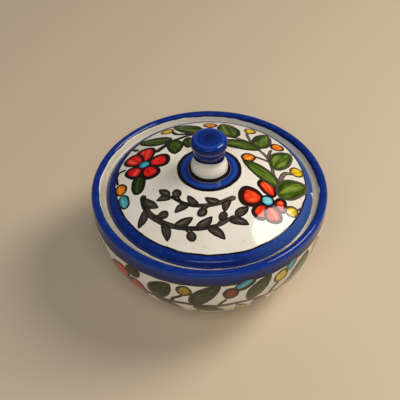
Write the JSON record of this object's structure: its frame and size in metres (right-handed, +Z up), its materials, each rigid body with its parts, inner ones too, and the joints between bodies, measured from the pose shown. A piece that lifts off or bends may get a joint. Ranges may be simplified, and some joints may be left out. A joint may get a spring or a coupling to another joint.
{
  "type": "lidded ceramic bowl",
  "caption": "Round-bellied glazed ceramic bowl on a foot ring, with a recessed ledge in its rim that seats a shallow domed lid topped by a turned knob.",
  "frame": {"origin": "centre of the foot ring's flat underside, which is the middle of the box's bottom", "axes": "+Z up along the turning axis of bowl, lid and knob; X and Y are any two directions across it"},
  "size_m": [0.1204, 0.1204, 0.0895],
  "materials": {
    "bowl_glaze": "glossy clear glaze over a white ground, cobalt rim band and painted vine",
    "lid_glaze": "glossy clear glaze over a white ground, cobalt edge band and ring, painted vine",
    "knob_glaze": "glossy cobalt blue glaze, white collar"
  },
  "bodies": {
    "bowl": {"bowl": "bowl_glaze"},
    "lid": {"lid": "lid_glaze", "knob": "knob_glaze"}
  },
  "joints": [
    {"name": "lid_lift", "type": "slide", "parent": "bowl", "child": "lid", "axis": [0, 0, 1], "range_m": [0, 0.08]}
  ]
}
